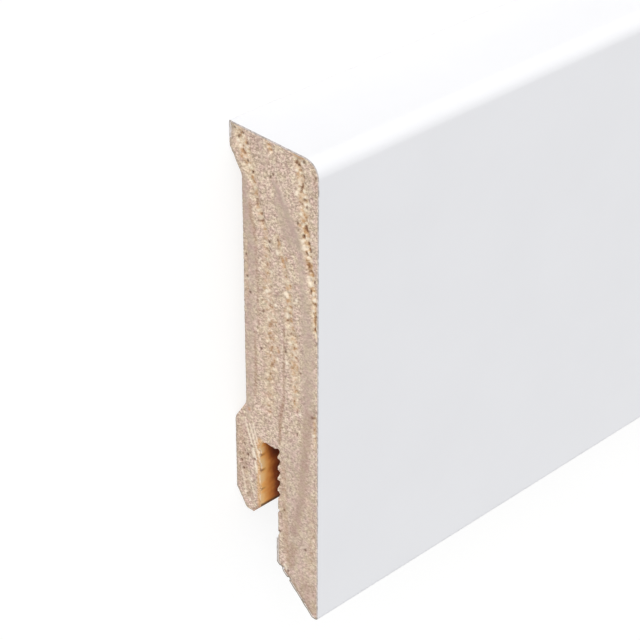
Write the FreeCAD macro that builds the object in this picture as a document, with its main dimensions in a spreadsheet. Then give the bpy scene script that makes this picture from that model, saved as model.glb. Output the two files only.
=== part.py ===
import FreeCAD, Part
import os
import re

import Sketcher

# Skirting board length: one stick of pine, moulded to a clip-on skirting section, and the white
# decor foil that is wrapped round its top, front, toe and the foot of its leg. Millimetres.
#
# The board lies on its back as it would on a level floor. +X runs along the length, +Y from the
# bottom edge to the top edge, and +Z points out of the white front. The origin is the middle of
# the bounding box's bottom, so Z = 0 is the plane that lies against the wall in use.
#
# Each outline below is drawn from the bottom edge (first number) and from the wall plane (second
# number), and both bodies are then moved so that the origin falls in the middle of the board.

SIZES = {
    # the finished board
    "board_length": 2400.0,
    "board_height": 70.0,
    "board_thickness": 16.0,
    # the foil, and the radii of the wood under it at the two front edges
    "foil_thickness": 0.25,
    "top_radius": 2.0,
    "toe_radius": 0.3,
    # the toe: a narrow flat under the front, then a chamfer up to the back of the leg
    "toe_flat": 1.2,
    "toe_angle": 40.0,
    # how far the foil climbs the back of the leg above that chamfer
    "leg_turn": 4.0,
    # the hook that holds the board to its clips, and the groove between hook and leg
    "hook_bottom": 11.6,
    "hook_height": 14.1,
    "hook_thickness": 4.8,
    "hook_slope": 3.4,
    "hook_radius": 1.5,
    "hook_back_run": 1.9,
    "hook_back_rise": 2.7,
    "hook_mouth_run": 1.5,
    "hook_mouth_rise": 1.6,
    "groove_width": 3.4,
    "groove_depth": 12.8,
    "groove_radius": 1.3,
    # the shallow recess down the back, and the ridge above it
    "recess_depth": 2.2,
    "recess_radius": 1.5,
    "ridge_slope": 3.3,
    "ridge_land": 1.1,
    # how far the foil turns over the ridge, and how far it stays clear of the wall plane there
    "ridge_turn": 2.4,
    "turn_clearance": 0.1,
}

# Places that several corners share, as formulas of the sizes above.
LEG_BACK = "(hook_thickness + groove_width)"
WOOD_FRONT = "board_thickness - foil_thickness"
WOOD_TOP = "board_height - foil_thickness"
TURN_END = "board_height - ridge_turn"
TURN_SEAT = "turn_clearance + foil_thickness"
RECESS_TOP = f"{TURN_END} - ridge_land - ridge_slope"
HOOK_TOP = "hook_bottom + hook_height"
GROOVE_TOP = "hook_bottom + groove_depth"
FLAT_END = "board_thickness - toe_flat"
WOOD_FLAT_END = f"{FLAT_END} + foil_thickness * tan(toe_angle / 2)"
CHAMFER_TOP = f"({FLAT_END} - {LEG_BACK} + foil_thickness) * tan(toe_angle)"
WOOD_CHAMFER_TOP = f"({FLAT_END} - {LEG_BACK}) * tan(toe_angle) + foil_thickness / cos(toe_angle)"
LEG_TURN_END = f"{CHAMFER_TOP} + leg_turn"

# Corners of the wood, round from the front of the toe.
WOOD_CORNERS = [
    ("foil_thickness", WOOD_FRONT),
    ("foil_thickness", WOOD_FLAT_END),
    (WOOD_CHAMFER_TOP, LEG_BACK),
    (GROOVE_TOP, LEG_BACK),
    (GROOVE_TOP, "hook_thickness"),
    ("hook_bottom + hook_mouth_rise", "hook_thickness"),
    ("hook_bottom", "hook_thickness - hook_mouth_run"),
    ("hook_bottom", "hook_back_run"),
    ("hook_bottom + hook_back_rise", "0"),
    (HOOK_TOP, "0"),
    (f"{HOOK_TOP} + hook_slope", "recess_depth"),
    (RECESS_TOP, "recess_depth"),
    (f"{TURN_END} - ridge_land", "0"),
    (TURN_END, "0"),
    (TURN_END, TURN_SEAT),
    (WOOD_TOP, TURN_SEAT),
    (WOOD_TOP, WOOD_FRONT),
]

# Corners of the foil: its outer face from the ridge to the leg, then its glued face back again.
FOIL_CORNERS = [
    (TURN_END, "turn_clearance"),
    ("board_height", "turn_clearance"),
    ("board_height", "board_thickness"),
    ("0", "board_thickness"),
    ("0", FLAT_END),
    (CHAMFER_TOP, f"{LEG_BACK} - foil_thickness"),
    (LEG_TURN_END, f"{LEG_BACK} - foil_thickness"),
    (LEG_TURN_END, LEG_BACK),
    (WOOD_CHAMFER_TOP, LEG_BACK),
    ("foil_thickness", WOOD_FLAT_END),
    ("foil_thickness", WOOD_FRONT),
    (WOOD_TOP, WOOD_FRONT),
    (WOOD_TOP, TURN_SEAT),
    (TURN_END, TURN_SEAT),
]


def bound(formula):
    """The formula with each size read from the sheet, as in Sizes.board_height."""
    return re.sub(r"\b[a-z]+(_[a-z]+)+\b", r"Sizes.\g<0>", formula)


def make_sheet(doc):
    """A sheet of the driving sizes, a name and a value in each row."""
    sheet = doc.addObject("Spreadsheet::Sheet", "Sizes")
    for row, (alias, value) in enumerate(SIZES.items(), start=1):
        sheet.set(f"A{row}", alias)
        sheet.set(f"B{row}", str(value))
        sheet.setAlias(f"B{row}", alias)
    doc.recompute()
    return sheet


def section_plane(body):
    """The body's own YZ plane, on which its section is drawn."""
    return next(item for item in body.Origin.OriginFeatures if item.Role == "YZ_Plane")


def draw_outline(body, name, corners):
    """A closed sketch through the corners, each held by its two distances from the sketch's origin."""
    sketch = body.newObject("Sketcher::SketchObject", name)
    sketch.AttachmentSupport = [(section_plane(body), "")]
    sketch.MapMode = "FlatFace"
    places = []
    for across, up in corners:
        start = [float(sketch.evalExpression(bound(formula))) for formula in (across, up)]
        places.append(FreeCAD.Vector(start[0], start[1], 0))
    count = len(corners)
    for here in range(count):
        sketch.addGeometry(Part.LineSegment(places[here], places[(here + 1) % count]), False)
    for here in range(count):
        join = Sketcher.Constraint("Coincident", here, 2, (here + 1) % count, 1)
        sketch.addConstraint(join)
    for here, (across, up) in enumerate(corners):
        held = (("DistanceX", -2, across, places[here].x), ("DistanceY", -1, up, places[here].y))
        for kind, axis, formula, start in held:
            if formula == "0":
                sketch.addConstraint(Sketcher.Constraint("PointOnObject", here, 1, axis))
                continue
            number = sketch.addConstraint(Sketcher.Constraint(kind, -1, 1, here, 1, start))
            sketch.setExpression(f"Constraints[{number}]", bound(formula))
    return sketch


def run_to_length(body, name, sketch):
    """The section run along the board's whole length."""
    pad = body.newObject("PartDesign::Pad", name)
    pad.Profile = sketch
    pad.setExpression("Length", bound("board_length"))
    body.Document.recompute()


def edges_at(body, across, up):
    """Names of the long edges that stand at one corner of the section."""
    place = [float(body.evalExpression(bound(formula))) for formula in (across, up)]
    names = []
    for number, edge in enumerate(body.Tip.Shape.Edges, start=1):
        ends = [vertex.Point for vertex in edge.Vertexes]
        if all(abs(end.y - place[0]) + abs(end.z - place[1]) < 1e-6 for end in ends):
            names.append(f"Edge{number}")
    return names


def round_corners(body, name, corners, radius):
    """One radius on the long edges at the given corners of the section."""
    names = [edge for across, up in corners for edge in edges_at(body, across, up)]
    base = body.Tip
    fillet = body.newObject("PartDesign::Fillet", name)
    fillet.Base = (base, names)
    fillet.setExpression("Radius", bound(radius))
    body.Document.recompute()


def lay_on_back(body):
    """Moves the body so that the board's middle is over the origin."""
    body.setExpression("Placement.Base.x", bound("-board_length / 2"))
    body.setExpression("Placement.Base.y", bound("-board_height / 2"))


def make_body(doc, label, corners):
    """A body of the given section, as long as the board."""
    body = doc.addObject("PartDesign::Body", label)
    body.Label = label
    sketch = draw_outline(body, f"{label}_section", corners)
    run_to_length(body, f"{label}_run", sketch)
    return body


def make_pine_core(doc):
    """The pine: square on its long front, hooked, grooved and hollowed at its back."""
    body = make_body(doc, "pine_core", WOOD_CORNERS)
    round_corners(body, "wood_top_edge", [(WOOD_TOP, WOOD_FRONT)], "top_radius")
    round_corners(body, "wood_toe_edge", [("foil_thickness", WOOD_FRONT)], "toe_radius")
    round_corners(body, "groove_edge", [(GROOVE_TOP, "hook_thickness")], "groove_radius")
    round_corners(body, "hook_shoulder", [(HOOK_TOP, "0")], "hook_radius")
    recess = [(f"{HOOK_TOP} + hook_slope", "recess_depth"), (RECESS_TOP, "recess_depth")]
    round_corners(body, "recess_edges", recess, "recess_radius")
    lay_on_back(body)
    return body


def make_foil_wrap(doc):
    """The foil: as thick round the two front edges as on the flats."""
    body = make_body(doc, "foil_wrap", FOIL_CORNERS)
    top, toe = ("board_height", "board_thickness"), ("0", "board_thickness")
    round_corners(body, "foil_top_edge", [top], "top_radius + foil_thickness")
    round_corners(body, "glued_top_edge", [(WOOD_TOP, WOOD_FRONT)], "top_radius")
    round_corners(body, "foil_toe_edge", [toe], "toe_radius + foil_thickness")
    round_corners(body, "glued_toe_edge", [("foil_thickness", WOOD_FRONT)], "toe_radius")
    round_corners(body, "foil_ridge_edge", [("board_height", "turn_clearance")], "foil_thickness")
    lay_on_back(body)
    return body


def check_sound(doc, bodies):
    """Stops before anything is written if an object failed or a shape is not sound."""
    for item in doc.Objects:
        if "Invalid" in item.State or "Error" in item.State:
            raise RuntimeError(f"{item.Label} did not build: {item.State}")
    for body in bodies:
        if body.Shape.isNull() or not body.Shape.isValid() or len(body.Shape.Solids) != 1:
            raise RuntimeError(f"{body.Label} is not one sound solid")


def write_parts(bodies):
    """One STEP file for each body, named by its label."""
    os.makedirs("parts", exist_ok=True)
    for body in bodies:
        body.Shape.exportStep(f"parts/{body.Label}.step")
        box = body.Shape.BoundBox
        litres = body.Shape.Volume / 1e6
        print(f"{body.Label}: {litres:.4f} l, from ({box.XMin:.2f}, {box.YMin:.2f}, {box.ZMin:.2f})"
              f" to ({box.XMax:.2f}, {box.YMax:.2f}, {box.ZMax:.2f})")


document = FreeCAD.newDocument("skirting_board")
make_sheet(document)
pieces = [make_pine_core(document), make_foil_wrap(document)]
document.recompute()
check_sound(document, pieces)
write_parts(pieces)
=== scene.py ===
# %% [markdown]
# # A length of foil-wrapped pine skirting board
#
# The board is one stick of pine. A moulder has cut its top edge, toe, hook, clip groove and back
# recess, and a white decor foil has then been wrapped and glued round its top, front, toe and the
# foot of its leg. It lies on its back on a level floor, as it would be stored.
#
# This lesson dresses the plain solids of the CAD model. The wood gets its two sawn ends, with
# their torn fibre and growth rings, and the foil gets its satin face and its thin cut edge.

import math

import bmesh
import bpy
import numpy as np
from mathutils import Matrix, Vector


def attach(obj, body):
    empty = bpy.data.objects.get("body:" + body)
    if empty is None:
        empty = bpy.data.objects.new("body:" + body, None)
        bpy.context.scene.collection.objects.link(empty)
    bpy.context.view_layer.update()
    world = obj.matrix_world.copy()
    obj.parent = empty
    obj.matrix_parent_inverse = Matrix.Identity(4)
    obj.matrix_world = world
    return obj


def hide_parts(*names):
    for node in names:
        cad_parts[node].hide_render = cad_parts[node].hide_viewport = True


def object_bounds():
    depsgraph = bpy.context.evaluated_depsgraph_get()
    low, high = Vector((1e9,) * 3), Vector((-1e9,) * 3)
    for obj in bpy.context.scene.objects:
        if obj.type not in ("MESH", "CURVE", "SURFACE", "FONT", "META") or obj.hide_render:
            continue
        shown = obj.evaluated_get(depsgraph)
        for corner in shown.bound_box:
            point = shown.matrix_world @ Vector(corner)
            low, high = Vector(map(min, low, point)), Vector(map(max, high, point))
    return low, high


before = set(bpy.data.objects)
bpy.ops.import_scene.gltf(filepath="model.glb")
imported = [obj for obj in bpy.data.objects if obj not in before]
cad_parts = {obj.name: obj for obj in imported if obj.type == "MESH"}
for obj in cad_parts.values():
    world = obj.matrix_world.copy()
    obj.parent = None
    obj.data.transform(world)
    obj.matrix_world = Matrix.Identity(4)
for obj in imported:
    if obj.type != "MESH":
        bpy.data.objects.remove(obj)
cad_low, cad_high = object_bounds()
print("CAD box in mm:", [round(side * 1000, 1) for side in cad_high - cad_low])

# %% [markdown]
# ## The camera
#
# The photograph looks at one sawn end from a little above and from the front, with a long lens, so
# that the far part of the board runs out of the picture. A camera's matrix holds its own right, up
# and backward directions in columns, with its place in the last one, and those three directions
# were fitted to the corners of the photographed end. The picture has the board's top edge upward,
# so the camera is rolled, and the board itself stays on its back.

# %% Place the camera
camera = bpy.data.objects.new("camera", bpy.data.cameras.new("camera"))
bpy.context.scene.collection.objects.link(camera)
camera.data.sensor_width = 36.0
camera.data.lens = 118.8
camera.data.clip_end = 60.0
right, up, back = (0.7212, 0.0031, 0.6927), (0.3701, 0.8435, -0.3892), (-0.5856, 0.5371, 0.6072)
turn = Matrix((right, up, back)).transposed().to_quaternion()
# It stands before the near end, over the top edge and out from the front.
stand = Vector((cad_low.x - 0.1519, 0.1528, 0.1738))
camera.matrix_world = Matrix.LocRotScale(stand, turn, None)
bpy.context.scene.camera = camera
print("Lens:", round(camera.data.lens, 1), "mm, from", [round(c, 3) for c in camera.location])

# %% [markdown]
# ## Sizes of the section
#
# A moulding is its section, run along its length. These are the sizes of the part's source, in
# millimetres, measured from the bottom edge upward and from the wall plane outward. They are
# written again here because the visual pieces replace the plain solids and must sit on them.

# %% Name the sizes
HEIGHT, THICKNESS, FOIL = 70.0, 16.0, 0.25
TOP_RADIUS, TOE_RADIUS = 2.0, 0.3
# The hook, and the two bevels at its foot, towards the wall and towards the groove.
HOOK_BOTTOM, HOOK_TOP, HOOK_FACE = 11.6, 25.7, 4.8
BACK_RUN, BACK_RISE = 1.9, 2.7
MOUTH_RUN, MOUTH_RISE = 1.5, 1.6
# The groove between the hook and the leg.
GROOVE_TOP, GROOVE_RADIUS, LEG_BACK = 24.4, 1.3, 8.2
# The recess up the back, from the slope over the hook to the slope under the ridge, and the
# degrees by which the outline turns at each slope.
HOOK_SLOPE, HOOK_RADIUS, HOOK_TURN = 3.4, 1.5, 32.9
RECESS, RECESS_RADIUS = 2.2, 1.5
RECESS_LOW, RECESS_HIGH = HOOK_TOP + HOOK_SLOPE, 63.2
RIDGE_LAND, RIDGE_TURN = 66.5, 33.7
# Where the foil that is turned over the ridge ends, and how far it stays clear of the wall plane.
TURN_END, CLEARANCE = 67.6, 0.1
TURN_SEAT = CLEARANCE + FOIL
# The toe: a narrow flat under the front, a chamfer, and the foil's turn up the back of the leg.
FLAT_END, TOE, LEG_TURN = 14.8, math.radians(40), 4.0
WOOD_FLAT_END = FLAT_END + FOIL * math.tan(TOE / 2)
CHAMFER_TOP = (FLAT_END - LEG_BACK + FOIL) * math.tan(TOE)
WOOD_CHAMFER_TOP = (FLAT_END - LEG_BACK) * math.tan(TOE) + FOIL / math.cos(TOE)
LEG_TURN_END = CHAMFER_TOP + LEG_TURN
print("Section in mm:", HEIGHT, "x", THICKNESS, "with", FOIL, "of foil")

# %% [markdown]
# ## Drawing a section by hand
#
# Both pieces start in the same way. A small plane is merged to one point, the point is extruded
# from corner to corner round the outline, the last gap is closed and the loop is filled. Rounded
# corners are then bevelled as points. This gives an exact outline with no leftover faces, which
# cutting shapes out of a block would not.

# %% Helpers for drawing a section
SAME_PLACE = 1e-6  # metres, within which two corners are one


def place(across, out):
    """A place on the near end: mm up from the bottom edge and mm out from the wall plane."""
    return Vector((cad_low.x, cad_low.y + across / 1000, cad_low.z + out / 1000))


def pick(test):
    """Selects only the corners whose place passes the test, in edit mode, and counts them."""
    bpy.ops.mesh.select_mode(type="VERT")
    bpy.ops.mesh.select_all(action="DESELECT")
    data = bpy.context.object.data
    mesh = bmesh.from_edit_mesh(data)
    count = 0
    for corner in mesh.verts:
        corner.select = test(corner.co)
        count += corner.select
    mesh.select_flush(True)
    bmesh.update_edit_mesh(data)
    return count


def draw_section(name, corners):
    """A filled face through the corners, on the plane of the near end."""
    bpy.ops.object.select_all(action="DESELECT")
    bpy.ops.mesh.primitive_plane_add(size=0.001, location=place(*corners[0]))
    bpy.context.object.name = name
    bpy.context.object.data.name = name
    bpy.ops.object.transform_apply(location=True, rotation=True, scale=True)
    bpy.ops.object.mode_set(mode="EDIT")
    bpy.ops.mesh.select_all(action="SELECT")
    bpy.ops.mesh.merge(type="CENTER")
    for here, there in zip(corners, corners[1:]):
        step = place(*there) - place(*here)
        bpy.ops.mesh.extrude_region_move(TRANSFORM_OT_translate={"value": step})
    first, last = place(*corners[0]), place(*corners[-1])
    pick(lambda co: min((co - first).length, (co - last).length) < SAME_PLACE)
    bpy.ops.mesh.edge_face_add()
    bpy.ops.mesh.select_all(action="SELECT")
    bpy.ops.mesh.edge_face_add()
    return bpy.context.object


def round_corner(across, out, radius, turned=90.0, segments=6):
    """Rounds one corner of the drawn section; turned is how far its two sides turn there."""
    centre = place(across, out)
    found = pick(lambda co: (co - centre).length < SAME_PLACE)
    run = radius / 1000 * math.tan(math.radians(turned) / 2)
    bpy.ops.mesh.bevel(offset_type="OFFSET", offset=run, segments=segments, affect="VERTICES")
    print(f"  rounded {found} corner at ({across:.1f}, {out:.1f}) to {radius} mm")


FIRST_CUT = 0.63  # as a share of the spacing, so that no line falls on a corner


def score(axis, spacing):
    """Cuts the section along evenly spaced lines, so that its face can carry relief."""
    normal = [0.0, 0.0, 0.0]
    normal[axis] = 1.0
    for number in range(int((cad_high[axis] - cad_low[axis]) * 1000 / spacing)):
        point = list(cad_low)
        point[axis] = cad_low[axis] + (number + FIRST_CUT) * spacing / 1000
        bpy.ops.mesh.select_all(action="SELECT")
        bpy.ops.mesh.bisect(plane_co=point, plane_no=normal, threshold=SAME_PLACE)


def run_to_middle():
    """Extrudes the section's rim to the middle of the board and leaves edit mode."""
    bpy.ops.mesh.select_mode(type="FACE")
    bpy.ops.mesh.select_all(action="SELECT")
    bpy.ops.mesh.region_to_loop()
    bpy.ops.mesh.extrude_region_move(TRANSFORM_OT_translate={"value": (-cad_low.x, 0, 0)})
    bpy.ops.object.mode_set(mode="OBJECT")


# %% [markdown]
# ## The pine
#
# The wood's outline goes from the front of the toe up its chamfer, into the groove and round the
# hook, up the recess to the ridge, over a shallow rebate for the foil, and back down the front.
# The sawn end is the part that the photograph shows closest, so its face is scored into a grid a
# sixth of a millimetre wide, which is fine enough for torn fibre and pits.

# %% Draw the wood's section
WOOD = [
    (FOIL, THICKNESS - FOIL),
    (FOIL, WOOD_FLAT_END),
    (WOOD_CHAMFER_TOP, LEG_BACK),
    (GROOVE_TOP, LEG_BACK),
    (GROOVE_TOP, HOOK_FACE),
    (HOOK_BOTTOM + MOUTH_RISE, HOOK_FACE),
    (HOOK_BOTTOM, HOOK_FACE - MOUTH_RUN),
    (HOOK_BOTTOM, BACK_RUN),
    (HOOK_BOTTOM + BACK_RISE, 0.0),
    (HOOK_TOP, 0.0),
    (RECESS_LOW, RECESS),
    (RECESS_HIGH, RECESS),
    (RIDGE_LAND, 0.0),
    (TURN_END, 0.0),
    (TURN_END, TURN_SEAT),
    (HEIGHT - FOIL, TURN_SEAT),
    (HEIGHT - FOIL, THICKNESS - FOIL),
]
pine = draw_section("pine_stick", WOOD)
round_corner(HEIGHT - FOIL, THICKNESS - FOIL, TOP_RADIUS, segments=12)
round_corner(FOIL, THICKNESS - FOIL, TOE_RADIUS, segments=4)
round_corner(GROOVE_TOP, HOOK_FACE, GROOVE_RADIUS)
round_corner(HOOK_TOP, 0.0, HOOK_RADIUS, turned=HOOK_TURN)
round_corner(RECESS_LOW, RECESS, RECESS_RADIUS, turned=HOOK_TURN)
round_corner(RECESS_HIGH, RECESS, RECESS_RADIUS, turned=RIDGE_TURN)

# %% Score the end and run the section to half the length
GRID = 0.165  # mm between the lines that score the end
score(1, GRID)
score(2, GRID)
run_to_middle()
print("Faces of half the stick:", len(pine.data.polygons))

# %% [markdown]
# ## Growth rings on the sawn end
#
# Each year a pine adds pale, soft early wood and then a thin band of dense late wood. A saw leaves
# the late wood smooth and tears the early wood into specks and pits. The rings are drawn here as a
# few lines across the section, each point with its half width, as if painted on by brush. They are
# kept as attributes, so the relief and the colour below follow the same rings. A noise texture
# alone would give rings that have no link to the pits.

# %% Draw the rings
# Each line is a strength and its points: mm up, mm out and the half width in mm. Coarse rings are
# torn early wood, and stains are thin brown veins and dull patches, with one line of painted shade.
LATE_WOOD = [
    (0.6, [(63.4, 2.6, 0.5), (58.7, 2.9, 1.1), (54.8, 3.4, 1.4), (51.9, 3.7, 1.7)]),
    (0.42, [(51.9, 3.7, 1.7), (46, 3.3, 1.4), (39.7, 3.3, 1.4), (31, 3.0, 1.1), (27, 2.6, 0.6)]),
    (0.85, [(64.4, 8.0, 0.5), (62.8, 9.3, 0.8), (61.4, 10.1, 1.0), (60.1, 10.8, 1.2),
            (58.6, 11.7, 1.2), (57.2, 12.5, 0.8)]),
    (0.55, [(62.6, 8.4, 0.7), (60, 9.4, 1.4), (57.2, 10.9, 1.6)]),
    (0.52, [(57.2, 12.6, 0.8), (52, 13.1, 1.0), (45, 13.9, 1.5), (37, 14.2, 1.9), (31, 14.0, 1.5),
           (27, 13.4, 1.1)]),
    (0.6, [(27, 13.4, 1.1), (19, 12.8, 1.1), (12.5, 11.5, 1.0), (9.5, 11.0, 0.5)]),
    (0.3, [(69.5, 5.6, 0.8), (66, 6.3, 1.0)]),
    (0.28, [(25, 12.3, 5.0), (3, 12.6, 5.0)]),
]
COARSE = [
    (0.8, [(69.8, 11.9, 1.3), (67.8, 12.3, 1.1), (63.9, 13.2, 1.5), (60, 13.4, 1.4)]),
    (1.0, [(60, 13.3, 1.1), (57.4, 13.8, 1.1), (53.5, 14.5, 1.0), (50.4, 14.9, 0.9),
           (46.5, 15.3, 0.7), (45.5, 15.4, 0.5)]),
    (0.6, [(57, 8.4, 0.7), (53.7, 9.4, 0.8), (50.9, 10.4, 0.9)]),
    (0.7, [(50.9, 10.4, 1.0), (46, 10.4, 1.4), (42.5, 11.3, 1.5), (38, 11.5, 1.5), (33, 11.6, 1.1)]),
    (0.58, [(57, 6.3, 0.8), (48.3, 6.5, 1.7), (45, 7.0, 2.3), (40, 7.2, 2.3), (36, 7.0, 2.0),
            (30, 6.6, 1.4)]),
    (0.75, [(69.3, 1.6, 1.7), (67, 2.6, 1.9), (63.8, 4.0, 1.2), (59.9, 4.9, 0.9), (57.5, 5.9, 0.9)]),
    (0.5, [(54, 2.7, 0.5), (46, 2.8, 0.5)]),
    (0.8, [(69.8, 6.8, 0.7), (68.4, 7.4, 0.7)]),
    (0.7, [(33, 15.2, 0.6), (28.3, 15.3, 0.6)]),
    (0.45, [(23, 9.2, 0.8), (15, 9.6, 0.9), (7, 9.8, 0.9)]),
    (0.35, [(24, 0.9, 0.8), (18, 1.6, 1.0), (13.5, 2.6, 1.0)]),
    (0.4, [(19.5, 14.0, 0.8), (15, 14.9, 0.9), (8, 14.4, 1.2)]),
]
STAIN_AND_SHADE = [
    (0.6, [(43.8, 9.6, 0.3), (38.1, 9.5, 0.35), (33.1, 9.5, 0.35)]),
    (0.9, [(33.1, 9.5, 0.35), (30.4, 8.9, 0.6), (28.0, 8.7, 0.5), (25.5, 8.6, 0.3)]),
    (0.7, [(60, 3.6, 0.5), (58.2, 3.7, 0.6), (54.8, 4.6, 0.45)]),
    (0.5, [(54.8, 4.6, 0.45), (46, 4.8, 0.35), (41, 5.0, 0.3)]),
    (0.5, [(27.0, 1.6, 0.2), (23.2, 2.5, 0.2), (20.8, 3.1, 0.2)]),
    (0.5, [(26.8, 2.3, 0.18), (23.9, 3.2, 0.18), (21.0, 4.2, 0.18)]),
    (0.4, [(24.5, 0.8, 0.18), (20.2, 1.5, 0.18), (16.5, 2.6, 0.18), (13.8, 3.2, 0.18)]),
    (0.7, [(41, 4.2, 0.3), (34.9, 4.2, 0.5), (31.1, 4.0, 0.4)]),
    (0.6, [(9.8, 11.2, 1.2), (8.0, 10.6, 1.5), (6.6, 10.6, 1.0)]),
    (0.6, [(5.6, 8.9, 0.5), (0.6, 14.6, 0.7)]),
    (0.4, [(33, 14.2, 1.2), (27, 13.5, 1.3), (19, 12.8, 1.3), (12.5, 11.5, 1.2)]),
    (0.33, [(22, 9.0, 1.0), (14, 9.2, 1.1), (8.5, 9.8, 1.2)]),
    (0.28, [(24.8, 1.0, 1.6), (15.5, 1.2, 1.6)]),
    (0.35, [(4.5, 13.8, 2.6), (0.5, 15.4, 1.4)]),
    (0.4, [(68.9, 14.9, 0.5), (66.2, 15.4, 0.5)]),
    # A painted shade line along the foot of the hook's mouth.
    (0.9, [(11.8, 3.4, 0.5), (13.3, 4.8, 0.45)]),
]
# The groove's walls get a painted golden glow near the end and painted shade further in, and the
# painted shade is strongest at the groove's closed top.
GROOVE_GLOW_AND_SHADE = [
    (1.0, [(24.6, 4.6, 1.5), (23.0, 4.7, 1.2)]),
    (1.0, [(24.6, 5.5, 1.4), (24.6, 8.3, 1.4)]),
    (1.0, [(23.0, 4.7, 0.9), (13.2, 4.8, 0.9), (11.6, 3.3, 0.9)]),
    (1.0, [(24.4, 8.3, 0.5), (12.0, 8.3, 0.4)]),
]
# Painted shade, strongest at the groove's closed top.
GROOVE_TOP_SHADE = [
    (0.6, [(24.8, 5.2, 5.5), (24.8, 8.2, 5.5)]),
]
# Light that leaves the groove's wall also tints the sawn face beside it.
GLOWING = [
    (1.0, [(23.8, 4.8, 1.1), (22.6, 4.7, 1.0), (13.4, 4.7, 0.9)]),
]
# Painted shade: where the saw left the arris bare of foil, it is painted a little darker and grey.
PAINTED_RIM_SHADE = [
    (0.6, [(69.7, 0.5, 0.7), (66.5, 0.1, 0.5), (63.2, 2.2, 0.4)]),
    (0.5, [(63.2, 2.2, 0.35), (29, 2.2, 0.35)]),
    (0.7, [(25.7, 0.0, 0.45), (14.3, 0.0, 0.5), (11.6, 1.9, 0.4)]),
    (0.6, [(16, 8.2, 0.3), (6, 8.2, 0.35), (0.6, 14.8, 0.3)]),
]
print("Rings:", len(LATE_WOOD), "late and", len(COARSE), "coarse. Stains:", len(STAIN_AND_SHADE))

# %% Draw the specks
# Single specks and short strokes: open resin canals painted dark as the shade in their holes, torn
# pale fibre with painted highlights, and wood soaked in resin.
def specks(strength, radius, places):
    """One painted speck at each place, mm up and mm out."""
    return [(strength, [(a, o, radius), (a + 0.05, o, radius)]) for a, o in places]


CANAL_AND_NOTCH_SHADE = specks(1.0, 0.3, [
    (69.0, 2.4), (68.2, 1.6), (67.8, 3.2), (69.2, 0.9), (65.5, 3.3), (64.1, 4.0), (65.4, 7.9),
    (64.9, 7.4), (69.8, 6.7), (69.2, 13.3), (68.3, 12.2), (67.0, 13.2), (67.8, 15.4),
    (64.0, 13.3), (63.1, 13.7), (60.4, 12.2), (58.9, 13.1), (58.3, 14.1), (56.6, 13.7),
    (57.3, 14.4), (53.2, 15.1), (51.6, 14.4), (50.1, 15.4), (48.5, 15.5), (46.2, 15.6),
    (44.5, 15.6), (32.9, 14.8), (56.4, 8.5), (55.6, 7.1), (52.0, 2.7), (48.8, 2.9), (46.7, 3.4),
    (44.8, 5.7), (39.0, 5.3), (40.7, 9.9), (38.6, 12.5), (28.8, 11.9), (22.1, 1.7), (20.5, 2.2),
    (20.4, 3.5), (18.9, 0.9), (17.7, 1.2), (22.4, 3.2), (15.2, 9.4), (11.2, 8.5), (10.8, 13.5),
    (5.2, 10.1),
])
# Painted shade in three notches in the rim of the groove, seen on the hook's side of it.
CANAL_AND_NOTCH_SHADE += [
    (0.8, [(21.7, 4.6, 0.26), (21.6, 5.0, 0.26)]),
    (0.8, [(19.2, 4.6, 0.28), (19.1, 5.0, 0.28)]),
    (0.7, [(16.1, 4.6, 0.2), (16.0, 5.0, 0.2)]),
]
PALE_FIBRE_AND_HIGHLIGHTS = specks(0.9, 0.36, [
    (68.6, 3.5), (67.6, 1.5), (67.3, 3.2), (67.0, 1.9), (64.9, 3.4), (69.2, 1.2), (67.5, 12.0),
    (68.8, 12.9), (65.0, 13.2), (64.4, 12.0), (64.4, 13.4), (61.8, 12.7), (61.4, 13.9),
    (56.3, 13.9), (58.1, 13.0), (56.2, 14.1), (51.0, 14.6), (50.6, 15.2), (48.9, 14.8),
    (46.7, 15.4), (48.1, 6.4), (46.9, 6.6), (46.8, 8.1), (38.7, 8.3), (39.0, 10.1), (51.3, 7.3),
    (48.6, 3.1), (49.2, 11.9), (42.1, 10.7), (44.0, 6.7), (32.2, 12.5), (55.2, 7.0), (54.6, 8.5),
    (13.1, 2.5), (16.9, 3.0), (30.1, 15.0),
])
# Painted highlights between the chips down the leg's side of the groove.
PALE_FIBRE_AND_HIGHLIGHTS += specks(1.0, 0.27, [(21.7, 8.35), (20.0, 8.35), (17.8, 8.35), (11.9, 8.4), (10.6, 8.5)])
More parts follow.
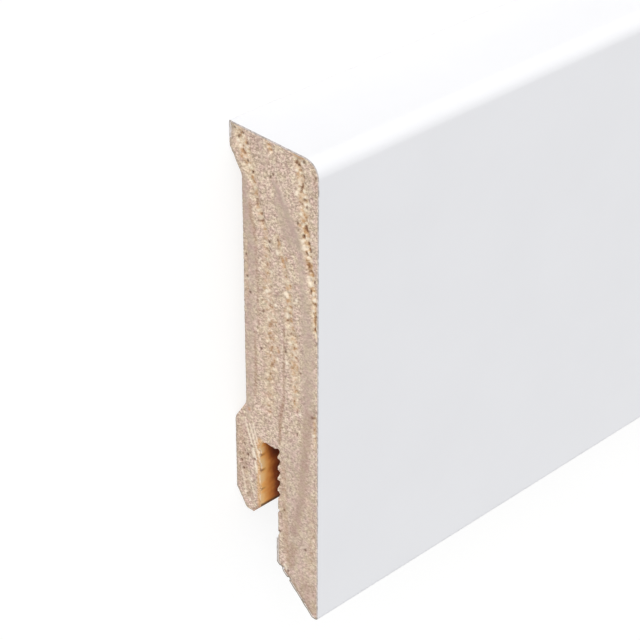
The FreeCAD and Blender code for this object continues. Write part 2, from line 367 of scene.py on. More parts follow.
# Pale fibre strokes on the hook and in the rings, with painted highlights on the bulges of the
# groove's rim.
PALE_FIBRE_AND_HIGHLIGHTS += [
    (0.8, [(22.7, 4.8, 0.35), (22.2, 4.8, 0.3)]),
    (0.8, [(20.7, 4.8, 0.45), (19.7, 4.8, 0.4)]),
    (0.6, [(18.2, 4.8, 0.5), (17.3, 4.8, 0.3)]),
    (0.5, [(15.0, 4.8, 0.45), (14.4, 4.8, 0.3)]),
    (0.8, [(52.9, 14.3, 0.6), (53.4, 14.1, 0.5)]),
    (0.7, [(66.3, 12.3, 0.4), (65.9, 12.5, 0.4)]),
    (0.8, [(63.4, 13.3, 0.25), (63.7, 14.4, 0.25)]),
    (0.8, [(57.3, 13.2, 0.5), (57.4, 13.6, 0.5)]),
    (0.8, [(49.2, 9.9, 0.5), (49.1, 10.1, 0.5)]),
    (0.8, [(46.3, 10.1, 0.5), (45.9, 10.1, 0.45)]),
    (0.7, [(41.0, 11.3, 0.4), (40.9, 11.7, 0.4)]),
    (0.8, [(4.3, 10.5, 0.35), (3.9, 10.9, 0.35)]),
    (0.7, [(5.9, 9.5, 0.4), (5.4, 9.8, 0.4)]),
    (0.85, [(26.4, 1.8, 0.24), (20.7, 4.0, 0.24)]),
    (0.85, [(25.9, 2.8, 0.24), (21.2, 4.6, 0.2)]),
    (0.7, [(26.2, 3.5, 0.22), (23.6, 4.3, 0.2)]),
    (0.75, [(22.0, 3.3, 0.3), (18.6, 4.1, 0.3)]),
    (0.6, [(18.0, 1.0, 0.25), (14.2, 1.8, 0.25)]),
    (0.6, [(17.5, 2.3, 0.22), (14.2, 3.6, 0.2)]),
    (0.5, [(20.9, 4.9, 0.4), (20.4, 5.0, 0.4)]),
    (0.3, [(67.2, 7.8, 0.22), (62.2, 10.0, 0.2)]),
]
AMBER = specks(0.8, 0.42, [
    (65.7, 2.1), (66.4, 2.1), (63.5, 4.0), (69.1, 7.4), (67.1, 12.1), (61.1, 13.1), (60.2, 12.5),
    (59.6, 13.3), (59.4, 14.0), (56.6, 13.7), (55.3, 13.9), (54.2, 14.6), (51.9, 14.6),
    (50.2, 15.4), (50.2, 10.2), (48.3, 10.2), (54.4, 10.1), (53.1, 9.6), (53.8, 9.4), (56.2, 8.7),
    (40.0, 8.5), (28.3, 2.8),
])
AMBER += [(0.8, [(69.6, 11.7, 0.4), (69.7, 13.2, 0.4)])]
print("Specks and strokes:", len(CANAL_AND_NOTCH_SHADE + PALE_FIBRE_AND_HIGHLIGHTS + AMBER))

# %% Helpers for painting on the mesh
CORE = 1.3  # over 1, so that the middle of a stroke has its full strength
FAINT = 0.01  # the least weight that is worth keeping


def painted(lines, across, out):
    """How strongly each place is painted by the lines, from 0 to 1."""
    paint = np.zeros(across.shape)
    for strength, line in lines:
        for (a0, o0, w0), (a1, o1, w1) in zip(line, line[1:]):
            run = np.array([a1 - a0, o1 - o0])
            along = ((across - a0) * run[0] + (out - o0) * run[1]) / (run @ run)
            along = np.clip(along, 0, 1)
            away = np.hypot(across - a0 - along * run[0], out - o0 - along * run[1])
            near = np.clip(CORE - CORE * away / (w0 + along * (w1 - w0)), 0, 1)
            paint = np.maximum(paint, strength * near * near * (3 - 2 * near))
    return paint


def section_places(mesh):
    """Each corner's distance along the length, up from the bottom edge and out from the wall."""
    co = np.empty(len(mesh.vertices) * 3)
    mesh.vertices.foreach_get("co", co)
    co = (co.reshape(-1, 3) - np.array(cad_low)) * 1000
    return co[:, 0], co[:, 1], co[:, 2]


def keep(obj, name, amount, as_group=False):
    """Keeps one number a corner, for materials to read, and as weights for modifiers."""
    layer = obj.data.attributes.new(name, "FLOAT", "POINT")
    layer.data.foreach_set("value", amount.astype(np.float32))
    if as_group:
        group = obj.vertex_groups.new(name=name)
        for number in np.flatnonzero(amount > FAINT).tolist():
            group.add([number], float(amount[number]), "REPLACE")


# %% Paint the rings and specks
TOUCH = 0.001  # mm, within which a corner is on the end face
GLUED = 0.6  # mm beside the foil, where the glue holds the fibre
along, across, out = section_places(pine.data)
at_end = along < TOUCH
late, coarse = painted(LATE_WOOD, across, out), painted(COARSE, across, out)
keep(pine, "late_wood", late)
keep(pine, "coarse", coarse)
for name, lines in (("stain_and_shade", STAIN_AND_SHADE), ("groove_glow_and_shade", GROOVE_GLOW_AND_SHADE), ("groove_top_shade", GROOVE_TOP_SHADE),
                    ("glowing", GLOWING), ("painted_rim_shade", PAINTED_RIM_SHADE), ("canal_and_notch_shade", CANAL_AND_NOTCH_SHADE),
                    ("pale_fibre_and_highlights", PALE_FIBRE_AND_HIGHLIGHTS), ("amber", AMBER)):
    keep(pine, name, painted(lines, across, out))
# Late wood tears a quarter as deep as early wood, and glued fibre half as deep. A few shallow pits
# lie outside the coarse rings too.
held = np.minimum(HEIGHT - across, THICKNESS - out) < GLUED
keep(pine, "torn", at_end * (1 - 0.75 * late) * (1 - 0.5 * held), as_group=True)
keep(pine, "pitted", at_end * np.clip(coarse + 0.1, 0, 1) * (1 - 0.5 * held), as_group=True)
print("Late wood covers", round(float((late[at_end] > 0.5).mean()) * 100), "% of the end")

# %% [markdown]
# ## Torn fibre
#
# A saw that crosses the grain pulls fibre out of the soft rings. Displace modifiers push the end
# face inward along the board only, so the outline and the overall size stay exact. One carries
# fine fuzz everywhere, less on late wood, one carries pits in the coarse rings, and a slow one
# carries the uneven pressure of the cut.

# %% Push the end face inward
def push_in(obj, name, kind, size, depth, group):
    """Applies one Displace modifier along the length; its grain's size and depth are in mm."""
    texture = bpy.data.textures.new(name, kind)
    texture.noise_scale = size / 1000
    modifier = obj.modifiers.new(name, "DISPLACE")
    modifier.texture = texture
    modifier.texture_coords = "LOCAL"
    modifier.direction = "X"
    modifier.mid_level = 0.0
    modifier.strength = depth / 1000
    modifier.vertex_group = group
    bpy.ops.object.select_all(action="DESELECT")
    obj.select_set(True)
    bpy.context.view_layer.objects.active = obj
    bpy.ops.object.modifier_apply(modifier=name)


# A pit's painted shade grows with its depth.
DEEP_PIT = 0.35  # mm, at which a pit has its full colour
push_in(pine, "pits", "VORONOI", 0.8, 0.42, "pitted")
along, across, out = section_places(pine.data)
keep(pine, "pit", np.clip(along / DEEP_PIT, 0, 1) * at_end)
push_in(pine, "saw_waves", "CLOUDS", 5.0, 0.08, "torn")
push_in(pine, "fuzz", "CLOUDS", 0.33, 0.16, "torn")
along, across, out = section_places(pine.data)
print("Deepest tear:", round(float(along[at_end].max()), 2), "mm")

# %% [markdown]
# ## Chipped edges and pinholes
#
# Where the groove's wall and the toe meet the saw cut, nothing backs the fibre and small chips
# break out. Resin canals leave pinholes. Each is made as by hand: one point is dragged inward with
# proportional editing, which pulls a round scoop of its neighbours along.

# %% Break chips out of the rim
# Each is mm up, mm out, its radius and its depth. Down the leg's side of the groove they follow
# one another like teeth.
TOOTH = 1.75  # mm from one tooth to the next
CHIPS = [(24.1 - TOOTH * n, LEG_BACK, 0.55 + 0.08 * (n % 2), 0.42) for n in range(5)]
CHIPS += [(22.0, HOOK_FACE, 0.6, 0.3), (19.7, HOOK_FACE, 0.8, 0.32), (16.2, HOOK_FACE, 0.5, 0.25)]
CHIPS += [(14.5, LEG_BACK, 0.3, 0.3), (10.6, LEG_BACK, 0.3, 0.25)]
TOE_CHIPS = [(5.2, 9.0, 0.35, 0.35), (4.1, 10.3, 0.35, 0.4), (1.6, 13.0, 0.25, 0.2)]
PINHOLES = [(20.5, 2.2), (20.4, 3.5), (18.9, 0.9), (17.7, 1.2), (28.8, 11.9),
            (64.1, 4.0), (69.8, 6.7), (58.9, 13.1), (56.6, 13.7), (44.5, 15.6), (38.6, 12.5),
            (67.0, 13.2)]
PINHOLE_RADIUS, PINHOLE_DEPTH = 0.36, 0.55
END_ZONE = 0.01  # metres from an end of the board, which holds all its tears and chips


def scoop(obj, across, out, radius, depth, falloff="SPHERE"):
    """Drags the nearest point of the near end inward, and its neighbours with it."""
    target = place(across, out)
    mesh = bmesh.from_edit_mesh(obj.data)
    rim = (v for v in mesh.verts if v.co.x < cad_low.x + END_ZONE)
    chosen = min(rim, key=lambda v: (v.co.yz - target.yz).length).co.copy()
    pick(lambda co: (co - chosen).length < SAME_PLACE)
    bpy.ops.transform.translate(
        value=(depth / 1000, 0, 0), use_proportional_edit=True,
        proportional_edit_falloff=falloff, proportional_size=radius / 1000)


bpy.ops.object.mode_set(mode="EDIT")
for chip in CHIPS + TOE_CHIPS:
    scoop(pine, *chip)
for hole in PINHOLES:
    scoop(pine, *hole, PINHOLE_RADIUS, PINHOLE_DEPTH, "SMOOTH")
bpy.ops.object.mode_set(mode="OBJECT")
print("Chips and pinholes:", len(CHIPS + TOE_CHIPS + PINHOLES))

# %% Finish the stick
def mirror_along(obj):
    """The far end is sawn like the near one, so half the board is mirrored at its middle."""
    modifier = obj.modifiers.new("far_half", "MIRROR")
    modifier.merge_threshold = SAME_PLACE
    bpy.ops.object.modifier_apply(modifier="far_half")
    bpy.ops.object.mode_set(mode="EDIT")
    bpy.ops.mesh.select_all(action="SELECT")
    bpy.ops.mesh.normals_make_consistent(inside=False)
    bpy.ops.object.mode_set(mode="OBJECT")


def report(obj):
    """Prints what a finished piece measures, and whether it is closed."""
    mesh = bmesh.new()
    mesh.from_mesh(obj.data)
    open_edges = sum(1 for edge in mesh.edges if len(edge.link_faces) != 2)
    triangles = sum(len(face.verts) - 2 for face in mesh.faces)
    volume = mesh.calc_volume(signed=True) * 1e6
    mesh.free()
    print(f"{obj.name}: {triangles} triangles, {open_edges} open edges, {volume:.1f} cm3")


mirror_along(pine)
bpy.ops.object.shade_smooth_by_angle(angle=math.radians(40))
report(pine)

# %% [markdown]
# ## The foil
#
# The foil is paper and lacquer a quarter of a millimetre thick, drawn at its real thickness, so
# that its cut edge shows at the sawn ends as the thin line of the photograph. Its outline goes
# round its outer face and back along its glued face, and every round edge has two radii a foil's
# thickness apart. A Solidify modifier would do the same, but would also round the foil's ends.

# %% Draw the foil's section
WRAP = [
    (TURN_END, CLEARANCE),
    (HEIGHT, CLEARANCE),
    (HEIGHT, THICKNESS),
    (0.0, THICKNESS),
    (0.0, FLAT_END),
    (CHAMFER_TOP, LEG_BACK - FOIL),
    (LEG_TURN_END, LEG_BACK - FOIL),
    (LEG_TURN_END, LEG_BACK),
    (WOOD_CHAMFER_TOP, LEG_BACK),
    (FOIL, WOOD_FLAT_END),
    (FOIL, THICKNESS - FOIL),
    (HEIGHT - FOIL, THICKNESS - FOIL),
    (HEIGHT - FOIL, TURN_SEAT),
    (TURN_END, TURN_SEAT),
]
RIM_RADIUS = 0.2  # mm, where the foil turns over the ridge
FOIL_GRID = 0.3  # mm between the lines that score its cut end
foil = draw_section("white_decor_foil", WRAP)
round_corner(HEIGHT, THICKNESS, TOP_RADIUS + FOIL, segments=16)
round_corner(HEIGHT - FOIL, THICKNESS - FOIL, TOP_RADIUS, segments=12)
round_corner(0.0, THICKNESS, TOE_RADIUS + FOIL, segments=6)
round_corner(FOIL, THICKNESS - FOIL, TOE_RADIUS, segments=4)
round_corner(HEIGHT, CLEARANCE, RIM_RADIUS, segments=4)
score(1, FOIL_GRID)
score(2, FOIL_GRID)
run_to_middle()
print("Faces of half the foil:", len(foil.data.polygons))

# %% Fray its cut edge and finish it
# Round the toe the cut edge is painted a darker warm grey, and a little up the leg.
DARKER_TOE_EDGE = [
    (1.0, [(0.2, 15.2, 1.0), (5.4, 8.3, 1.0)]),
    (0.35, [(5.4, 8.0, 1.0), (9.8, 8.0, 1.0)]),
]
along, across, out = section_places(foil.data)
keep(foil, "cut_edge", (along < TOUCH) * 1.0, as_group=True)
keep(foil, "darker_toe_edge", painted(DARKER_TOE_EDGE, across, out))
push_in(foil, "fray", "CLOUDS", 0.7, 0.12, "cut_edge")
bpy.ops.object.mode_set(mode="EDIT")
for chip in TOE_CHIPS:
    scoop(foil, *chip)
bpy.ops.object.mode_set(mode="OBJECT")
mirror_along(foil)
bpy.ops.object.shade_smooth_by_angle(angle=math.radians(30))
report(foil)

# %% [markdown]
# ## Materials
#
# Every material is a small tree of nodes. One helper adds a node, sets it and links its sockets,
# and one turns a colour picked on a screen into the linear values that the render works in. All
# patterns read Object coordinates, which are metres on the real board, so each pattern's scale
# comes from a grain in millimetres.

# %% Helpers for materials
def linear(colour):
    """An sRGB hex colour as linear red, green, blue and alpha."""
    parts = [int(colour[n:n + 2], 16) / 255 for n in (1, 3, 5)]
    return [c / 12.92 if c <= 0.04045 else ((c + 0.055) / 1.055) ** 2.4 for c in parts] + [1.0]


def grain(size):
    """The scale of a texture whose grain is this many millimetres."""
    return 1000 / size


def add(tree, kind, sockets=(), stops=(), **settings):
    """Adds one node. A socket gets a value, or a link from a socket or a node's first output."""
    node = tree.nodes.new(kind)
    for name, value in settings.items():
        setattr(node, name, value)
    for number, (spot, colour) in enumerate(stops):
        if number > 1:
            node.color_ramp.elements.new(spot)
        node.color_ramp.elements[number].position = spot
        node.color_ramp.elements[number].color = linear(colour)
    usable = [socket for socket in node.inputs if socket.enabled]
    for name, value in dict(sockets).items():
        socket = usable[name] if isinstance(name, int) else next(s for s in usable if s.name == name)
        if isinstance(value, bpy.types.Node):
            value = next(s for s in value.outputs if s.enabled)
        if isinstance(value, bpy.types.NodeSocket):
            tree.links.new(value, socket)
        else:
            socket.default_value = value
    return node


def new_material(name):
    """A material, its tree, its surface shader and its Object coordinates."""
    material = bpy.data.materials.new(name)
    material.use_nodes = True
    tree = material.node_tree
    tree.nodes.clear()
    shader = add(tree, "ShaderNodeBsdfPrincipled")
    add(tree, "ShaderNodeOutputMaterial", {"Surface": shader})
    spots = add(tree, "ShaderNodeTexCoord").outputs["Object"]
    return material, tree, shader, spots


# %% [markdown]
# ### Pine, sawn across the grain
#
# Fresh pine end grain is a dull pinkish beige. Late wood is smooth and greyer, torn early wood is
# cream and ochre with painted highlights where it glints, and open resin canals and pits are painted
# dark brown as their shade. It has no gloss at all.
# Single fibres are a thirtieth of a millimetre wide, too fine for the render, so what is drawn are
# the tufts that they tear into, a quarter of a millimetre wide.

# %% Sawn end grain: the plain wood and its late rings
end_grain, tree, shader, spots = new_material("pine_sawn_end_grain")
late, coarse, stain_and_shade, pit = (add(tree, "ShaderNodeAttribute", attribute_name=name).outputs["Fac"]
                            for name in ("late_wood", "coarse", "stain_and_shade", "pit"))
patches = add(tree, "ShaderNodeTexNoise", {"Vector": spots, "Scale": grain(4), "Detail": 2.0})
base = add(tree, "ShaderNodeValToRGB", {"Fac": patches},
           stops=[(0.33, "#CEB3A9"), (0.5, "#D2BBAA"), (0.67, "#DCC7AF")])
# The saw came across from the front, so its strokes lie across the wood and rise a little.
leaning = add(tree, "ShaderNodeMapping", {"Vector": spots, "Rotation": (math.radians(-20), 0, 0),
                                          "Scale": (1.0, 1.0, 1.6)}, vector_type="TEXTURE")
fuzz = add(tree, "ShaderNodeTexNoise",
           {"Vector": leaning, "Scale": grain(0.24), "Detail": 3.0, "Roughness": 0.7})
fuzz_tone = add(tree, "ShaderNodeValToRGB", {"Fac": fuzz},
                stops=[(0.36, "#917460"), (0.5, "#D0B8A7"), (0.62, "#FFF3E3")])
quiet = add(tree, "ShaderNodeMapRange", {"Value": late, "To Min": 0.72, "To Max": 0.2})
body = add(tree, "ShaderNodeMix", {"Factor": quiet, "A": base, "B": fuzz_tone}, data_type="RGBA")
late_share = add(tree, "ShaderNodeMath", {0: late, 1: 0.7}, operation="MULTIPLY")
body = add(tree, "ShaderNodeMix", {"Factor": late_share, "A": body, "B": linear("#B09C93")},
           data_type="RGBA")

# %% Sawn end grain: short strokes of torn fibre, half a millimetre apart
# A Voronoi cell has one stroke at its centre. The red of its random colour says if that stroke is
# dark or pale, and the green how large it is, so that no two look stamped alike.
cells = add(tree, "ShaderNodeTexVoronoi", {"Vector": leaning, "Scale": grain(0.52)})
chance = add(tree, "ShaderNodeSeparateColor", {"Color": cells.outputs["Color"]})
reach = add(tree, "ShaderNodeMapRange", {"Value": chance.outputs["Green"], "To Min": 0.25,
                                         "To Max": 0.6})
stroke = add(tree, "ShaderNodeMapRange", {"Value": cells, "From Min": reach, "From Max": 0.15})
loose = add(tree, "ShaderNodeMath", {0: coarse, 1: 0.6, 2: 0.4}, operation="MULTIPLY_ADD")
firm = add(tree, "ShaderNodeMath", {0: late, 1: -0.9, 2: 1.0}, operation="MULTIPLY_ADD")
loose = add(tree, "ShaderNodeMath", {0: loose, 1: firm}, operation="MULTIPLY")
loose = add(tree, "ShaderNodeMath", {0: loose, 1: stroke}, operation="MULTIPLY")
is_dark = add(tree, "ShaderNodeMapRange", {"Value": chance, "From Min": 0.62, "From Max": 0.68})
is_pale = add(tree, "ShaderNodeMapRange", {"Value": chance, "From Min": 0.38, "From Max": 0.32})
for kind, tone in ((is_dark, "#7C6149"), (is_pale, "#FFF2DC")):
    share = add(tree, "ShaderNodeMath", {0: loose, 1: kind}, operation="MULTIPLY")
    body = add(tree, "ShaderNodeMix", {"Factor": share, "A": body, "B": linear(tone)},
               data_type="RGBA")

# %% Sawn end grain: a tinge
# Resin turns one fleck yellow and bare fibre leaves the next one pink, about a millimetre at a
# time. The Color blend changes only the hue, so the fibre keeps its light and dark.
flecks = add(tree, "ShaderNodeTexNoise", {"Vector": spots, "Scale": grain(1.2), "Detail": 3.0})
tinge = add(tree, "ShaderNodeValToRGB", {"Fac": flecks},
            stops=[(0.37, "#D7B2AB"), (0.5, "#D2BBA9"), (0.63, "#D3C3A2")])
body = add(tree, "ShaderNodeMix", {"Factor": 0.38, "A": body, "B": tinge}, data_type="RGBA",
           blend_type="COLOR")

# %% Sawn end grain: the coarse rings, cream on top partly as painted highlight, and brown in their pits as painted shade
grit = add(tree, "ShaderNodeTexNoise",
           {"Vector": leaning, "Scale": grain(0.55), "Detail": 2.0, "Roughness": 0.6})
grit_tone = add(tree, "ShaderNodeValToRGB", {"Fac": grit},
                stops=[(0.34, "#866449"), (0.43, "#C4A68B"), (0.54, "#DBC2A5"), (0.63, "#FDEFD2")])
share = add(tree, "ShaderNodeMath", {0: coarse, 1: 0.7}, operation="MULTIPLY")
body = add(tree, "ShaderNodeMix", {"Factor": share, "A": body, "B": grit_tone}, data_type="RGBA")
uneven = add(tree, "ShaderNodeMapRange", {"Value": grit, "From Min": 0.3, "From Max": 0.7,
                                          "To Min": 0.35, "To Max": -0.35})
level = add(tree, "ShaderNodeMath", {0: pit, 1: uneven}, operation="ADD")
bead_tone = add(tree, "ShaderNodeValToRGB", {"Fac": level},
                stops=[(0.15, "#FCEFDC"), (0.42, "#EACEAB"), (0.7, "#C69D71"), (1.0, "#835B3E")])
ragged = add(tree, "ShaderNodeMath", {0: coarse, 1: uneven}, operation="ADD")
beads = add(tree, "ShaderNodeMapRange", {"Value": ragged, "From Min": 0.6, "From Max": 1.0,
                                         "To Max": 0.85})
body = add(tree, "ShaderNodeMix", {"Factor": beads, "A": body, "B": bead_tone}, data_type="RGBA")

# %% Sawn end grain: single specks
# A painted glow beside the groove, resin, pale fibre with painted highlights, painted shade in
# canals and notches, and painted shade along the bare rim.
for name, tone, most in (("glowing", "#DFA654", 0.55), ("amber", "#BE8D5A", 0.75),
                         ("pale_fibre_and_highlights", "#FFF3E0", 0.85), ("canal_and_notch_shade", "#674731", 0.9),
                         ("painted_rim_shade", "#9F9689", 0.8)):
    painted_on = add(tree, "ShaderNodeAttribute", attribute_name=name).outputs["Fac"]
    share = add(tree, "ShaderNodeMath", {0: painted_on, 1: most}, operation="MULTIPLY")
    body = add(tree, "ShaderNodeMix", {"Factor": share, "A": body, "B": linear(tone)},
               data_type="RGBA")

# %% Sawn end grain: stains and a painted shade line, painted shade in the depth of the tears, and the surface
stain_and_shade_share = add(tree, "ShaderNodeMath", {0: stain_and_shade, 1: 0.55}, operation="MULTIPLY")
body = add(tree, "ShaderNodeMix", {"Factor": stain_and_shade_share, "A": body, "B": linear("#9A7055")},
           data_type="RGBA")
from_middle = add(tree, "ShaderNodeMath", {0: add(tree, "ShaderNodeSeparateXYZ", {"Vector": spots})},
                  operation="ABSOLUTE")
# Painted shade darkens a tear from a third of a millimetre down, and is brown at twice that.
depth = add(tree, "ShaderNodeMapRange", {"Value": from_middle, "From Min": cad_high.x - 0.00035,
                                         "From Max": cad_high.x - 0.0007, "To Max": 0.9})
body = add(tree, "ShaderNodeMix", {"Factor": depth, "A": body, "B": linear("#6B4126")},
           data_type="RGBA")
tree.links.new(body.outputs[2], shader.inputs["Base Color"])
rough = add(tree, "ShaderNodeMapRange", {"Value": fuzz, "To Min": 0.75, "To Max": 0.95})
tree.links.new(rough.outputs[0], shader.inputs["Roughness"])
bump = add(tree, "ShaderNodeBump", {"Height": fuzz, "Strength": 0.8, "Distance": 0.00015})
tree.links.new(bump.outputs[0], shader.inputs["Normal"])
print("End grain nodes:", len(tree.nodes))

# %% [markdown]
# ### Pine, moulded along the grain
#
# On the groove, hook, recess and ridge the cutters ran along the grain. The same late rings come
# out as long amber stripes on a golden ground, crossed by nothing. Stretching the coordinates along
# the length turns round noise into streaks. Here too the fibres are drawn a quarter of a millimetre
# wide, because the real ones are too fine to show.

# %% Long grain
long_grain, tree, shader, spots = new_material("pine_moulded_long_grain")
late, stain_and_shade, groove_glow_and_shade, groove_top_shade = (
    add(tree, "ShaderNodeAttribute", attribute_name=name).outputs["Fac"]
    for name in ("late_wood", "stain_and_shade", "groove_glow_and_shade", "groove_top_shade"))
streaked = add(tree, "ShaderNodeMapping", {"Vector": spots, "Scale": (0.02, 1.0, 1.0)})
rings = add(tree, "ShaderNodeTexNoise",
            {"Vector": streaked, "Scale": grain(2.2), "Detail": 2.0, "Distortion": 0.4})
ground = add(tree, "ShaderNodeValToRGB", {"Fac": rings},
             stops=[(0.38, "#EBC993"), (0.52, "#E2BA80"), (0.66, "#C68F54")])
fibres = add(tree, "ShaderNodeTexNoise", {"Vector": streaked, "Scale": grain(0.25), "Detail": 3.0})
fibre_tone = add(tree, "ShaderNodeValToRGB", {"Fac": fibres},
                 stops=[(0.35, "#B98350"), (0.5, "#DFB67F"), (0.65, "#F3D7A8")])
body = add(tree, "ShaderNodeMix", {"Factor": 0.35, "A": ground, "B": fibre_tone}, data_type="RGBA")
late_share = add(tree, "ShaderNodeMath", {0: late, 1: 0.5}, operation="MULTIPLY")
body = add(tree, "ShaderNodeMix", {"Factor": late_share, "A": body, "B": linear("#BD8449")},
           data_type="RGBA")
# The first half millimetre of every long face is as pale as the sawn end beside it.
from_middle = add(tree, "ShaderNodeMath", {0: add(tree, "ShaderNodeSeparateXYZ", {"Vector": spots})},
                  operation="ABSOLUTE")
sawn_rim = add(tree, "ShaderNodeMapRange", {"Value": from_middle, "From Min": cad_high.x - 0.0007,
                                            "From Max": cad_high.x - 0.0004, "To Max": 0.85})
body = add(tree, "ShaderNodeMix", {"Factor": sawn_rim, "A": body, "B": linear("#CDB3A0")},
           data_type="RGBA")
# Light that enters the end grain runs along the fibres and comes out of the groove's walls close to
# the end, so they get a painted golden glow there, and painted shade turns them brown 3 mm further
# into the groove. The painted shade begins sooner at the groove's closed top, and blotches keep it
# uneven.
inward = add(tree, "ShaderNodeMapRange", {"Value": from_middle, "From Min": cad_high.x - 0.0001,
                                          "From Max": cad_high.x - 0.0034})
sooner = add(tree, "ShaderNodeMath", {0: groove_top_shade, 1: 1.1, 2: 0.88}, operation="MULTIPLY_ADD")
groove_shade_level = add(tree, "ShaderNodeMath", {0: inward, 1: sooner}, operation="MULTIPLY")
blotches = add(tree, "ShaderNodeTexNoise", {"Vector": spots, "Scale": grain(1.6), "Detail": 2.0})
blotches = add(tree, "ShaderNodeMapRange", {"Value": blotches, "From Min": 0.3, "From Max": 0.7,
                                            "To Min": -0.1, "To Max": 0.1})
groove_shade_level = add(tree, "ShaderNodeMath", {0: groove_shade_level, 1: blotches}, operation="ADD")
groove = add(tree, "ShaderNodeValToRGB", {"Fac": groove_shade_level},
             stops=[(0.0, "#FFDCA6"), (0.2, "#FFC576"), (0.44, "#E4984A"), (0.7, "#9E511E"),
                    (1.0, "#6C2C0E")])
body = add(tree, "ShaderNodeMix", {"Factor": groove_glow_and_shade, "A": body, "B": groove}, data_type="RGBA")
# Painted shade along the foot of the hook's mouth, where the stain-and-shade lines meet the groove's
# walls.
painted_edge_shade = add(tree, "ShaderNodeMath", {0: stain_and_shade, 1: groove_glow_and_shade}, operation="MULTIPLY")
body = add(tree, "ShaderNodeMix", {"Factor": painted_edge_shade, "A": body, "B": linear("#5A4026")},
           data_type="RGBA")
# At the rim of each long face: painted highlights on the groove rim's bulges, and painted shade in
# its notches and canals.
at_rim = add(tree, "ShaderNodeMapRange", {"Value": inward, "From Min": 0.35, "From Max": 0.1})
for name, tone in (("pale_fibre_and_highlights", "#FFDDA6"), ("canal_and_notch_shade", "#8A5225")):
    painted_on = add(tree, "ShaderNodeAttribute", attribute_name=name).outputs["Fac"]
    share = add(tree, "ShaderNodeMath", {0: painted_on, 1: at_rim}, operation="MULTIPLY")
    body = add(tree, "ShaderNodeMix", {"Factor": share, "A": body, "B": linear(tone)},
               data_type="RGBA")
tree.links.new(body.outputs[2], shader.inputs["Base Color"])
rough = add(tree, "ShaderNodeMapRange", {"Value": fibres, "To Min": 0.5, "To Max": 0.75})
tree.links.new(rough.outputs[0], shader.inputs["Roughness"])
bump = add(tree, "ShaderNodeBump", {"Height": fibres, "Strength": 0.35, "Distance": 0.0001})
tree.links.new(bump.outputs[0], shader.inputs["Normal"])
print("Long grain nodes:", len(tree.nodes))

# %% [markdown]
# ### White decor foil
#
# The foil is lacquered paper, cool white and satin. It is rolled on over the wood, so its face is
# nearly perfect: only a very faint mottle and the softest waviness break up a reflection. Its cut
# edge shows grey paper and glue.

# %% Foil face
foil_face, tree, shader, spots = new_material("lacquered_white_foil")
mottle = add(tree, "ShaderNodeTexNoise", {"Vector": spots, "Scale": grain(12), "Detail": 3.0})
white = add(tree, "ShaderNodeValToRGB", {"Fac": mottle},
            stops=[(0.3, "#ECEDF2"), (0.7, "#EEEFF4")])
tree.links.new(white.outputs[0], shader.inputs["Base Color"])
satin = add(tree, "ShaderNodeMapRange", {"Value": mottle, "To Min": 0.38, "To Max": 0.48})
tree.links.new(satin.outputs[0], shader.inputs["Roughness"])
peel = add(tree, "ShaderNodeTexNoise", {"Vector": spots, "Scale": grain(1.5), "Detail": 1.0})
bump = add(tree, "ShaderNodeBump", {"Height": peel, "Strength": 0.15, "Distance": 0.00002})
tree.links.new(bump.outputs[0], shader.inputs["Normal"])
print("Foil face nodes:", len(tree.nodes))

# %% Foil cut edge
foil_edge, tree, shader, spots = new_material("foil_cut_edge")
fray = add(tree, "ShaderNodeTexNoise", {"Vector": spots, "Scale": grain(0.5), "Detail": 2.0})
paper = add(tree, "ShaderNodeValToRGB", {"Fac": fray},
            stops=[(0.35, "#A9A09B"), (0.65, "#D5CDCB")])
darker_toe_edge = add(tree, "ShaderNodeAttribute", attribute_name="darker_toe_edge").outputs["Fac"]
share = add(tree, "ShaderNodeMath", {0: darker_toe_edge, 1: 0.8}, operation="MULTIPLY")
paper = add(tree, "ShaderNodeMix", {"Factor": share, "A": paper, "B": linear("#8C8171")},
            data_type="RGBA")
tree.links.new(paper.outputs[2], shader.inputs["Base Color"])
shader.inputs["Roughness"].default_value = 0.8
print("Foil edge nodes:", len(tree.nodes))

# %% [markdown]
# ## Dressing the pieces
#
# Each piece has one material on its long faces and one on the faces that the saw left. A long face
# runs the whole board and a sawn one keeps within a centimetre of an end, so their lengths tell
# them apart. Each piece then stands for its CAD node and rides on the board's only body.

# %% Put the materials on
def dress(obj, side, end):
    """One material on the long faces and another on the faces that the saw left."""
    obj.data.materials.clear()
    obj.data.materials.append(side)
    obj.data.materials.append(end)
    cut = 0
    for face in obj.data.polygons:
        places = [obj.data.vertices[v].co.x for v in face.vertices]
        face.material_index = 1 if max(places) - min(places) < END_ZONE else 0
        cut += face.material_index
    print(f"{obj.name}: {cut} faces of {len(obj.data.polygons)} are on the sawn ends")


dress(pine, long_grain, end_grain)
dress(foil, foil_face, foil_edge)
for piece, node, slot in ((pine, "pine_core", "pine"), (foil, "foil_wrap", "white_foil")):
    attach(piece, "root")
    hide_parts(node)

# %% [markdown]
# ## Floor, backdrop and light
#
# The photograph has a plain white ground. The floor and the world show as white to the camera and
# in reflections, while the light that they give to the board stays at a plain level. The floor
# mixes that white with its own shaded colour, so it keeps a soft shadow of the board.

# %% Floor and world
FLOOR_SIDE, FLOOR_GAP = 24.0, 0.0001
bpy.ops.object.select_all(action="DESELECT")
# It lies a tenth of a millimetre low, because two faces in one plane would flicker.
bpy.ops.mesh.primitive_plane_add(size=FLOOR_SIDE, location=(0, 0, cad_low.z - FLOOR_GAP))
floor = bpy.context.object
floor.name = "studio_floor"


def seen(tree):
    """1 for a ray from the camera or sent on by a glossy or clear surface, and 0 for light."""
    path = add(tree, "ShaderNodeLightPath")
    some = add(tree, "ShaderNodeMath", {0: path.outputs["Is Camera Ray"],
                                        1: path.outputs["Is Glossy Ray"]}, operation="MAXIMUM")
    return add(tree, "ShaderNodeMath", {0: some, 1: path.outputs["Is Transmission Ray"]},
               operation="MAXIMUM")


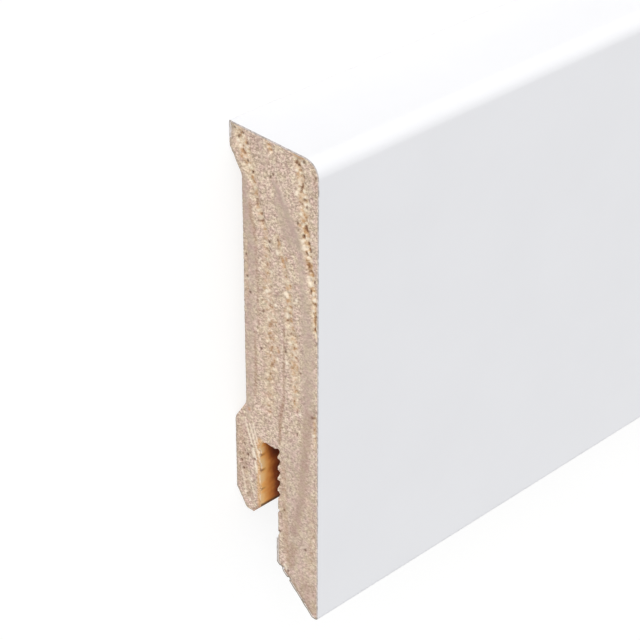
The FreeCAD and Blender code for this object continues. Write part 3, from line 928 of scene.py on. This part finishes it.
matt_white = bpy.data.materials.new("matt_white_floor")
matt_white.use_nodes = True
tree = matt_white.node_tree
tree.nodes.clear()
shaded = add(tree, "ShaderNodeBsdfDiffuse", {"Color": linear("#E9E9E9")})
# A little over full white, because the shaded share of the mix darkens it.
plain = add(tree, "ShaderNodeEmission", {"Color": linear("#FFFFFF"), "Strength": 1.15})
share = add(tree, "ShaderNodeMath", {0: seen(tree), 1: 0.7}, operation="MULTIPLY")
both = add(tree, "ShaderNodeMixShader", {"Fac": share, 1: shaded, 2: plain})
add(tree, "ShaderNodeOutputMaterial", {"Surface": both})
floor.data.materials.append(matt_white)

world = bpy.data.worlds.new("soft_white_room")
bpy.context.scene.world = world
world.use_nodes = True
tree = world.node_tree
tree.nodes.clear()
# The room is brighter and a touch warmer over the top edge, which is +Y, than under the toe.
toward = add(tree, "ShaderNodeTexCoord").outputs["Generated"]
side = add(tree, "ShaderNodeSeparateXYZ", {"Vector": toward})
glow = add(tree, "ShaderNodeMapRange", {"Value": side.outputs["Y"], "From Min": -1.0,
                                        "To Min": 0.3, "To Max": 1.06})
height = add(tree, "ShaderNodeMapRange", {"Value": side.outputs["Y"], "From Min": -1.0})
tint = add(tree, "ShaderNodeValToRGB", {"Fac": height}, stops=[(0.0, "#F9FCFF"), (1.0, "#FFFCF5")])
room = add(tree, "ShaderNodeBackground", {"Color": tint, "Strength": glow})
ground = add(tree, "ShaderNodeBackground", {"Color": linear("#FFFFFF"), "Strength": 1.0})
both = add(tree, "ShaderNodeMixShader", {"Fac": seen(tree), 1: room, 2: ground})
add(tree, "ShaderNodeOutputWorld", {"Surface": both})
print("Floor:", FLOOR_SIDE, "m wide, materials:", [slot.name for slot in floor.material_slots])

# %% Key light
# A wide sun lights every part of a long board alike. It stands over the top edge and the near end.
key = bpy.data.objects.new("soft_key", bpy.data.lights.new("soft_key", "SUN"))
bpy.context.scene.collection.objects.link(key)
key.data.angle = math.radians(50)
key.data.energy = 1.5
toward_key = Vector((-0.62, 0.62, 0.48))
key.rotation_mode = "QUATERNION"
key.rotation_quaternion = toward_key.to_track_quat("Z", "Y")
print("Key light:", key.data.energy, "W/m2,", round(math.degrees(key.data.angle)), "degrees wide")

# %% [markdown]
# ## Finishing
#
# The last line sets the render's view transform to Standard.

# %% Finish
bpy.context.scene.view_settings.view_transform = "Standard"
